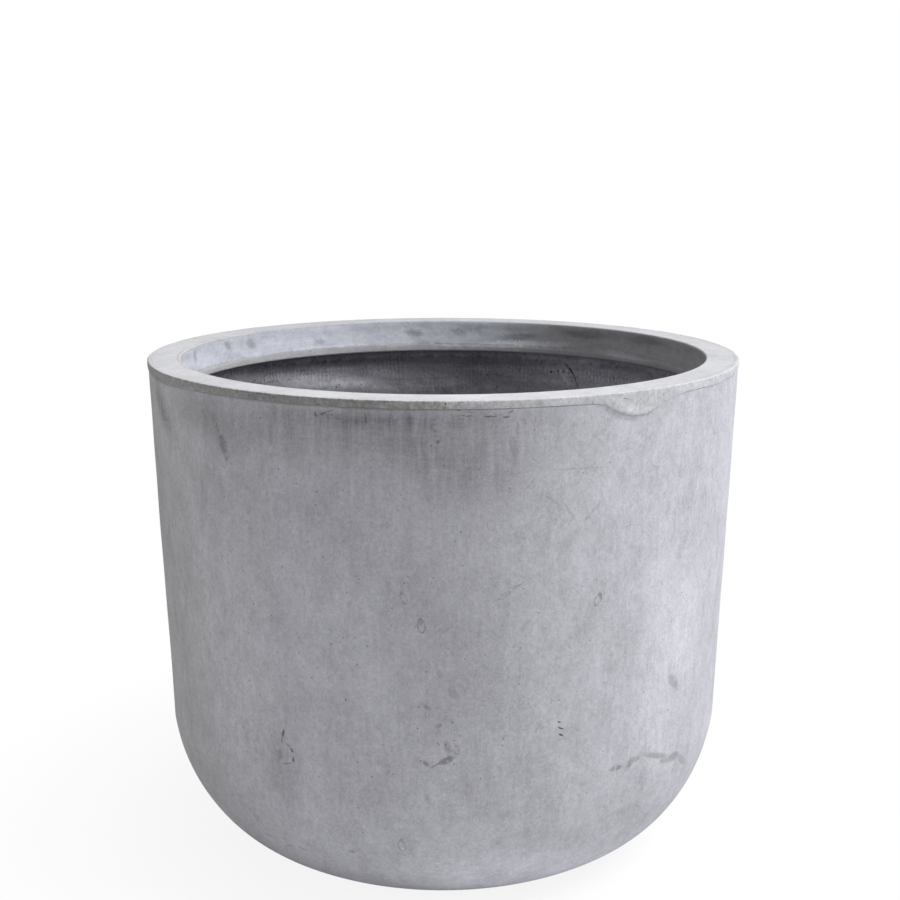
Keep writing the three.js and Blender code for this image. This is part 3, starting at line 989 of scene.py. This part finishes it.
def scattered(count, seed, length, widths, strengths, lean):
    """Marks as (start, end, width, strength), at random places on the back of the wall."""
    random = np.random.default_rng(seed)
    marks = []
    for _ in range(count):
        angle = random.uniform(*BACK_ANGLES)
        angle -= FULL_TURN * (angle > math.pi)
        start = np.array([angle * AROUND_RADIUS, random.uniform(*BACK_HEIGHTS)])
        heading = math.pi / 2 + random.uniform(-lean, lean)
        run = random.uniform(0.3, 1) * length * np.array([math.cos(heading), math.sin(heading)])
        marks.append((start, start + run, random.uniform(*widths), random.uniform(*strengths)))
    return marks


BACK_SMEARS = scattered(9, seed=71, length=16, widths=(3, 5), strengths=(0.2, 0.45), lean=1.2)
BACK_SCRATCHES = scattered(8, seed=72, length=34, widths=(0.8, 1.4), strengths=(0.12, 0.3), lean=1.5)
BACK_BUBBLES = scattered(4, seed=73, length=6, widths=(4.5, 6.5), strengths=(0.25, 0.4), lean=0.4)
seen_marks = (BROAD_STAINS, WALL_CLOUDS_AND_PAINTED_LIGHT, SMEARS, CRACKS, PITS_SEEN, SPECKLED, SCRAPES, BUBBLES, BUBBLE_CAPS)
print("marks on the wall:", sum(map(len, seen_marks)), "seen and",
      len(BACK_SMEARS + BACK_SCRATCHES + BACK_BUBBLES), "scattered")

# %% [markdown]
# ## Fair-faced concrete
# The base is a cool light grey, a touch blue. Noise at several sizes gives the clouds, the mottle and the
# grain, and they are drawn out upwards, as the mould was brushed and the rain runs down. Pinholes are
# a Voronoi texture: only the very middle of each cell is dark. The stain under the rim isn't a plain
# patch: streaks that hang down and level bands, left by the trowel, break it up. The smears are warmer,
# where the mould's oil stayed on, and the front turns less blue towards the left.
#
# A name in capitals that holds two numbers is a range to rise over: nothing at the first, all at the
# second. A third number says how much all is. Lengths are in millimetres.

# %% Finish the wall
CONCRETE, WARM_CONCRETE = (0.435, 0.436, 0.477), (0.441, 0.441, 0.446)
DAMP_BACK, DAMP_UP, DAMP_PATCHES = (40, 130), (330, 392), (-0.05, 0.15, 0.3)
SMEAR_BREAKS = (-0.35, 0.05, 1.1)
WARM_LEFT, WARM_FRONT = (-80, -290, 0.7), (150, 0)


def fair_faced_concrete():
    f = PotFinish("fair_faced_concrete")
    f.unroll(wobble=1.0)
    clouds = f.noise(60, seed=1, detail=3, rough=0.8, stretch=(1, 1, 1.5))
    mottle = f.noise(16, seed=2, detail=3, rough=1.0, stretch=(1, 1, 1.35))
    grain = f.noise(4, seed=3, detail=1.5, rough=1.0, stretch=(1, 1, 1.2))
    fine = f.noise(1.5, seed=10, detail=1, rough=1.0)
    strips = f.noise(3.5, seed=4, detail=2, rough=0.8, stretch=(1, 1, 14))
    pinholes = f.pits(10, 0.8, seed=5)
    specks = f.pits(5.5, 0.6, seed=6)
    tone = 1 + 0.55 * clouds + 0.45 * mottle + 0.38 * grain + 0.45 * fine + 0.18 * strips

    streaks = f.noise(6, seed=7, detail=3, rough=0.8, stretch=(1, 1, 9))
    bands = f.noise(3, seed=8, detail=3, rough=0.9, stretch=(9, 9, 1))
    patches = f.rise(f.noise(120, seed=9), *DAMP_PATCHES)
    damp_back = f.rise(f.y, *DAMP_BACK) * f.rise(f.up, *DAMP_UP) * patches
    damp = f.marks(mapped(BROAD_STAINS), "ADD", edge=1.0) + damp_back
    tone = tone * (1 - damp * (1 + 1.8 * streaks + 1.0 * bands + 1.2 * mottle))
    # Stains, with painted light and shade: a paler foot, paler sides, a darker middle and a shadow under
    # the drip.
    tone = tone * (1 - f.marks(mapped(WALL_CLOUDS_AND_PAINTED_LIGHT), "ADD", edge=0.9))

    smears = f.marks(mapped(SMEARS) + BACK_SMEARS, edge=0.55)
    smears = smears * f.rise(mottle + grain * 1.5, *SMEAR_BREAKS)
    dark = f.marks(mapped(CRACKS + PITS_SEEN) + BACK_SCRATCHES)
    rings = f.marks(mapped(BUBBLES) + BACK_BUBBLES, ring=BUBBLE_RING)
    rings = f.math("MAXIMUM", rings, f.marks(mapped(BUBBLE_CAPS)))
    tone = tone * (1 - smears) * (1 - dark) * (1 - rings) * (1 - f.marks(mapped(SCRAPES), "ADD"))
    speckled = 0.22 + f.marks(mapped(SPECKLED), edge=0.8)
    tone = tone * (1 - 0.45 * pinholes) * (1 - speckled * specks)

    warm = f.rise(f.around, *WARM_LEFT) * f.rise(f.y, *WARM_FRONT) + smears + 0.25 * damp
    colour = f.tint(f.blend(warm, CONCRETE, WARM_CONCRETE), tone)
    relief = 0.5 * mottle + 0.6 * grain + 0.25 * strips - 0.8 * pinholes - 0.3 * specks
    return f.surface(colour, 0.8 - 0.25 * smears, relief, relief_height=0.28, specular=0.3)


# %% [markdown]
# ## Rim concrete
# One casting, three finishes. The top was trowelled and is the palest, with a bloom of lime at the
# front left and one faint line from the trowel. Its inner edge is darker at the left, painted shade over
# the rounding. The inner face is the mirror of its former and stained with damp. Towards the right it is
# painted darker, painted shade on the side the lamp doesn't reach, and along its upper edge the lip has
# a painted highlight. The lip itself is wiped greyer, and its darker tone is partly painted shade where
# the strip turns down. The slurry outside is thin, so the oil of the mould shows through: olive and
# dark at one side, as light as the wall at the other. The finishes are told apart by place alone, by
# the distance from the axis and the height.

# %% Finish the rim
TOP_COLOUR, TOP_BLOOM = (0.515, 0.517, 0.540), (0.605, 0.607, 0.630)
# The dark inner colour is painted shade, for the right of the inner face.
INNER_PALE, INNER_PAINTED_SHADE = (0.600, 0.620, 0.690), (0.350, 0.350, 0.365)
LAP_PALE, LAP_DARK = (0.465, 0.467, 0.490), (0.240, 0.238, 0.229)
# The wiped colour is greyer than the face above it, and darker: partly painted shade where the lip turns
# down.
WIPED_COLOUR_AND_SHADE = (0.470, 0.472, 0.490)
OUTSIDE_AXIS, OUTSIDE_UP = (232, 236), (399.8, 399.3)
INSIDE_AXIS, INSIDE_UP = (218, 215.5), (399.8, 398)
PAINTED_SHADE_RIGHT, WIPED_UP, BLOOM_LEFT = (45, 110), (378.5, 377), (60, -160)
OILY_LEFT, OILY_END = (70, -50), (-110, -190, 0.3)
TROWEL_LINE, LINE_WIDTH, LINE_UP = 236.6, (0.9, 0.2, 0.12), (399, 399.4)
# Painted shade over the rounded inner edge, darker at the left.
EDGE_SHADE_AXIS, EDGE_SHADE_UP, EDGE_SHADE_LEFT = (217.5, 216), (397, 398.5), (60, -60, 0.13)
LAP_CRACKS = [
    (313, 406, 322, 403.5, 1.0, 0.45), (322, 403.5, 336, 406.5, 1.0, 0.40),
    (623, 398.4, 629, 398.6, 0.9, 0.55), (629, 398.6, 632, 400.5, 0.8, 0.45),
    (445.5, 403.7, 445.6, 403.8, 1.6, 0.85), (364.5, 408, 364.5, 413, 1.4, 0.50),
]
# Damp stains on the inner face. The paler rows from (470, 344) and (590, 350) are a painted highlight along
# the lip's upper edge.
INNER_STAINS_AND_HIGHLIGHT = [
    (195, 353, 196, 358, 11.2, 0.29), (226, 344, 230, 347, 11.2, 0.32),
    (249, 342, 254, 346, 12.6, 0.32), (316, 341, 324, 342, 8.4, 0.25), (405, 332, 425, 334, 9.8, 0.36),
    (452, 331, 466, 334, 9.8, 0.36), (490, 338, 540, 336, 9.8, 0.40), (560, 333, 610, 336, 12.6, 0.36),
    (620, 338, 668, 344, 14.0, 0.32), (470, 344, 585, 346, 8.4, -0.54),
    (590, 350, 650, 362, 8.4, -0.25), (440, 322, 600, 326, 11.2, -0.22), (691, 349, 2.2, 1.26),
    (696, 351, 2.2, 1.08),
]


def rim_concrete():
    f = PotFinish("rim_concrete")
    f.unroll(wobble=0.6)
    clouds = f.noise(40, seed=11, detail=3, rough=0.8)
    mottle = f.noise(9, seed=12, detail=3, rough=1.0)
    grain = f.noise(3, seed=13, detail=1.5, rough=1.0)
    pinholes = f.pits(9, 0.8, seed=14)
    tone = 1 + 0.45 * clouds + 0.3 * mottle + 0.25 * grain

    outside = f.rise(f.from_axis, *OUTSIDE_AXIS) * f.rise(f.up + 0.6 * grain, *OUTSIDE_UP)
    inside = f.rise(f.from_axis, *INSIDE_AXIS) * f.rise(f.up, *INSIDE_UP)
    # Painted shade: the inner face is darker towards the right.
    dark = f.rise(f.x + 90 * clouds, *PAINTED_SHADE_RIGHT)
    wiped = f.rise(f.up + 4 * mottle, *WIPED_UP)
    inner = f.blend(dark, f.blend(wiped, INNER_PALE, WIPED_COLOUR_AND_SHADE), INNER_PAINTED_SHADE)
    oily = f.rise(f.x + 120 * mottle, *OILY_LEFT) * (1 - f.rise(f.x, *OILY_END))
    lap = f.blend(oily, LAP_PALE, LAP_DARK)
    rough_lap = outside * (0.4 + 0.4 * oily) * (mottle + grain)
    cracks = f.marks(mapped(LAP_CRACKS)) * outside
    trowel = f.noise(2.5, seed=16, detail=2)
    drag = f.noise(5, seed=15, detail=3, rough=0.8, stretch=(6, 6, 1)) * inside
    off_line = f.math("ABSOLUTE", f.from_axis - TROWEL_LINE + 6 * mottle)
    top_line = f.rise(off_line, *LINE_WIDTH) * f.rise(f.up, *LINE_UP)
    bloom = f.rise(f.x + f.y + 60 * clouds, *BLOOM_LEFT)
    # Painted shade over the rounded inner edge at the left.
    painted_edge_shade = f.rise(f.from_axis, *EDGE_SHADE_AXIS) * f.rise(f.up, *EDGE_SHADE_UP) * f.rise(f.x, *EDGE_SHADE_LEFT)
    f.unroll(wobble=3.0, far=True)
    # Damp stains, and a painted highlight along the lip's upper edge.
    stains_and_highlight = f.marks(mapped(INNER_STAINS_AND_HIGHLIGHT, on_collar, far=True), "ADD", edge=0.7) * inside
    tone = (tone + rough_lap + 0.12 * trowel + 0.5 * drag) * (1 - stains_and_highlight) * (1 - cracks)
    tone = tone * (1 - 0.4 * pinholes) * (1 - top_line) * (1 - painted_edge_shade)
    colour = f.blend(outside, f.blend(inside, f.blend(bloom, TOP_COLOUR, TOP_BLOOM), inner), lap)
    relief = 0.6 * mottle + 0.5 * grain + 0.8 * rough_lap - 0.8 * pinholes
    return f.surface(f.tint(colour, tone), 0.8, relief, relief_height=0.22, specular=0.3)


# %% [markdown]
# ## Hand-laid concrete
# The lining is the same cement with more sand and fibre, darker, rough and never finished. The glass mesh
# lies close under it and prints through as fine threads both ways, strongest where the roller
# pressed hardest. Right under the collar a little of the collar's pale mortar was wiped onto it, with
# a painted shadow below it. The pale patches are painted light: at the left, where the lamp
# reaches in, and on the lit side of the overlap ridge, whose crease gets painted shade. The right side
# is made paler too.

# %% Finish the lining and the floor
THREAD_PITCH = 4.2
ROLLED_AT, ROLLED_WIDTH, PRESSED = 352, (8, 2), (0, 0.2)
WIPED_ABOVE, SHADOW_BELOW, SHADOW_ABOVE = (362, 365), (365, 361), (352, 358)
PALE_RIGHT = (30, 150, 0.7)
LINING_COLOUR = (0.220, 0.2195, 0.243)
# The first four rows are painted shade in the crease of the mesh's overlap ridge. The rest are pinholes.
LINING_PITS_AND_RIDGE_SHADE = [
    (566.4, 363.5, 570, 368, 3.7, 0.55), (570, 368, 574, 374, 4.8, 0.75),
    (574, 374, 577, 381, 4.1, 0.70), (577, 381, 578.5, 388, 3.1, 0.60), (551, 372, 3.7, 0.70),
    (558, 371, 3.4, 0.70), (563.5, 370, 563.7, 373, 3.4, 0.70), (693, 351, 3.1, 0.6),
]
# Painted light: the lit patches at the left and on the lit side of the overlap ridge.
LINING_PAINTED_LIGHT = [
    (250, 380, 410, 386, 20, -0.90), (561, 370, 570, 386, 12, -0.50), (290, 369, 350, 368, 8, -0.30),
]


def hand_laid_concrete():
    f = PotFinish("hand_laid_concrete")
    f.unroll(wobble=0.6, far=True)
    clouds = f.noise(50, seed=21, detail=3, rough=0.8, stretch=(1.3, 1.3, 0.6))
    mottle = f.noise(12, seed=22, detail=3, rough=1.0)
    grain = f.noise(3.5, seed=23, detail=2, rough=1.0)
    bands = f.noise(7, seed=24, detail=2, stretch=(8, 8, 1))
    upright = f.math("SINE", (f.around + 8 * mottle + 6 * grain) * (FULL_TURN / THREAD_PITCH))
    level = f.math("SINE", (f.up + 4 * mottle + 4 * grain) * (FULL_TURN / THREAD_PITCH))
    rolled = f.rise(f.math("ABSOLUTE", f.up + 12 * clouds - ROLLED_AT), *ROLLED_WIDTH)
    pressed = f.rise(f.noise(26, seed=25, detail=2) + 0.14 * rolled + 0.5 * mottle, *PRESSED)
    print_through = pressed * (0.75 * upright + 0.25 * level)
    holes = f.pits(7, 1.0, seed=26)
    wiped = f.rise(f.up + 8 * mottle, *WIPED_ABOVE)
    # Painted shadow under the collar.
    shadowy = f.rise(f.up + 8 * mottle, *SHADOW_BELOW) * f.rise(f.up, *SHADOW_ABOVE)
    # Pinholes, and painted shade in the crease of the overlap ridge.
    marks = f.marks(mapped(LINING_PITS_AND_RIDGE_SHADE, on_lining, far=True))
    # Painted light on the lining.
    painted_light = f.marks(mapped(LINING_PAINTED_LIGHT, on_lining, far=True), "ADD", edge=1.0)
    tone = 1 + 0.9 * clouds + 0.8 * mottle + 0.8 * grain + 0.75 * bands + 0.26 * print_through
    tone = tone * (1 + 0.35 * wiped - 0.25 * shadowy + f.rise(f.x, *PALE_RIGHT))
    tone = tone * (1 - 0.5 * holes) * (1 - marks) * (1 - painted_light)
    relief = 0.5 * mottle + 0.4 * grain + 0.22 * print_through + 0.5 * bands - 0.9 * holes
    return f.surface(f.tint(LINING_COLOUR, tone), 0.9, relief, relief_height=0.9, specular=0.3)


# %% [markdown]
# ## Fibre, plastic and rubber
# The mesh and the hoop stay the plain solids of the frame, shut in by the concrete, and only a cut
# or an exploded view shows them. Sleeve and plug are small, so one fine texture each is enough: a spark
# eroded mould leaves the plastic matt, and rubber blooms in pale clouds.

# %% Finish the small parts
FIBRE, PLASTIC = (0.68, 0.70, 0.64), (0.07, 0.072, 0.075)
RUBBER, BLOOMED_RUBBER = (0.017, 0.018, 0.019), (0.040, 0.041, 0.042)


def glass_fibre():
    f = PotFinish("glass_fibre")
    strands = f.noise(1.2, seed=31, detail=2, stretch=(1, 1, 6))
    return f.surface(f.tint(FIBRE, 1 + 0.4 * strands), 0.6, strands, 0.2)


def sleeve_plastic():
    f = PotFinish("sleeve_plastic")
    grain = f.noise(0.5, seed=42)
    tone = 1 + 0.3 * f.noise(8, seed=41) + 0.2 * grain
    return f.surface(f.tint(PLASTIC, tone), 0.5 + 0.3 * grain, grain, 0.05)


def plug_rubber():
    f = PotFinish("plug_rubber")
    bloom = f.rise(f.noise(6, seed=51, detail=3), -0.1, 0.25)
    grain = f.noise(0.6, seed=52)
    return f.surface(f.blend(bloom, RUBBER, BLOOMED_RUBBER), 0.6 + 0.25 * bloom, grain, 0.06)


# %% Dress the pieces
def dress(piece, material, body, slot, *nodes):
    """Gives a piece its material and its body, and hides the CAD nodes that it stands for. The slot is not
    used.
    """
    piece.data.materials.clear()
    piece.data.materials.append(material)
    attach(piece, body)
    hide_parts(*nodes)


hand_laid = hand_laid_concrete()
dress(outer_skin, fair_faced_concrete(), "vessel", "fair_face_concrete", "outer_skin")
dress(rim_collar, rim_concrete(), "vessel", "rim_concrete", "rim_collar")
dress(wall_backing, hand_laid, "vessel", "hand_laid_concrete", "wall_backing")
dress(bowl_backing, hand_laid, "vessel", "hand_laid_concrete", "bowl_backing")
dress(floor_slab, hand_laid, "vessel", "hand_laid_concrete", "floor_slab")
dress(drain_sleeve, sleeve_plastic(), "vessel", "sleeve_plastic", "drain_sleeve")
dress(drain_plug, plug_rubber(), "plug", "plug_rubber", "drain_plug")

fibre = glass_fibre()
for node in ("bowl_mesh", "wall_mesh", "rim_roving"):
    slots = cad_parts[node].data.materials
    slots.clear()
    slots.append(fibre)

for material in bpy.data.materials:
    if material.use_nodes:
        print(f"{material.name}: {len(material.node_tree.nodes)} nodes")

# %% [markdown]
# ## Floor and light
# The object was photographed on white. More light would give white too, but it would bleach the
# concrete, so the white is painted instead: a ray that comes straight from the camera, or from a
# mirror or through glass, sees white, and all other rays see an ordinary grey world. The floor does
# the same, but lets a little of its true shading through near the pot, and so keeps its shadow.

# %% Lay the floor and the white surroundings
scene = bpy.context.scene
scene.view_settings.view_transform = "Standard"
FLOOR_REACH = 8.0
FLOOR_COLOUR, WHITE = (0.92, 0.92, 0.92), (1, 1, 1)
SHADOW_SHARE = 0.12
SHADOW_NEAR = (480, 170)  # mm from the axis
SURROUND_LIGHT = 0.47


def sees_white(f):
    """1 for the rays that should see white surroundings."""
    camera_ray = f.node("ShaderNodeLightPath", out="Is Camera Ray")
    mirrored = f.other(camera_ray, "Is Glossy Ray")
    through = f.other(camera_ray, "Is Transmission Ray")
    return f.math("MAXIMUM", camera_ray, f.math("MAXIMUM", mirrored, through))


def studio_floor():
    corners = [(x * FLOOR_REACH, y * FLOOR_REACH, 0) for x, y in ((-1, -1), (1, -1), (1, 1), (-1, 1))]
    mesh = bpy.data.meshes.new("studio_floor")
    mesh.from_pydata(corners, [], [(0, 1, 2, 3)])
    floor = bpy.data.objects.new("studio_floor", mesh)
    scene.collection.objects.link(floor)
    f = PotFinish("studio_floor")
    shadow = SHADOW_SHARE * f.rise(f.from_axis, *SHADOW_NEAR)
    diffuse = f.node("ShaderNodeBsdfDiffuse", {}, {"Color": FLOOR_COLOUR})
    white = f.node("ShaderNodeEmission", {}, {"Color": WHITE, "Strength": 1.0})
    share = sees_white(f) * (1 - shadow)
    mesh.materials.append(f.close(f.node("ShaderNodeMixShader", {}, {0: share, 1: diffuse, 2: white})))


def pale_world():
    world = bpy.data.worlds.new("pale_world")
    f = Finish(world)
    dim = f.node("ShaderNodeBackground", {}, {"Color": WHITE, "Strength": SURROUND_LIGHT})
    white = f.node("ShaderNodeBackground", {}, {"Color": WHITE, "Strength": 1.0})
    scene.world = f.close(f.node("ShaderNodeMixShader", {}, {0: sees_white(f), 1: dim, 2: white}))


studio_floor()
pale_world()

# %% [markdown]
# The lamp was found by trying: single lamps were rendered one by one from many directions, and the
# mix was kept whose light on a plain pot fell off as it does in the picture. One large soft lamp, high at
# the right and a little in front, and an even pale surrounding came out best.

# %% Hang the lamp
AIM = Vector((0, 0, 0.25))


def softbox(name, azimuth, elevation, distance, size, power):
    """A square lamp aimed at the pot, placed by its direction in degrees from the viewer's side."""
    turn, rise = math.radians(azimuth), math.radians(elevation)
    away = Vector((math.sin(turn) * math.cos(rise), -math.cos(turn) * math.cos(rise), math.sin(rise)))
    light = bpy.data.lights.new(name, "AREA")
    light.shape = "SQUARE"
    light.size = size
    light.energy = power
    lamp = bpy.data.objects.new(name, light)
    lamp.location = AIM + away * distance
    lamp.rotation_euler = away.to_track_quat("Z", "Y").to_euler()
    scene.collection.objects.link(lamp)
    print(name, "at", [round(value, 3) for value in lamp.location])


softbox("key_softbox", azimuth=79, elevation=47, distance=2.4, size=1.2, power=56)
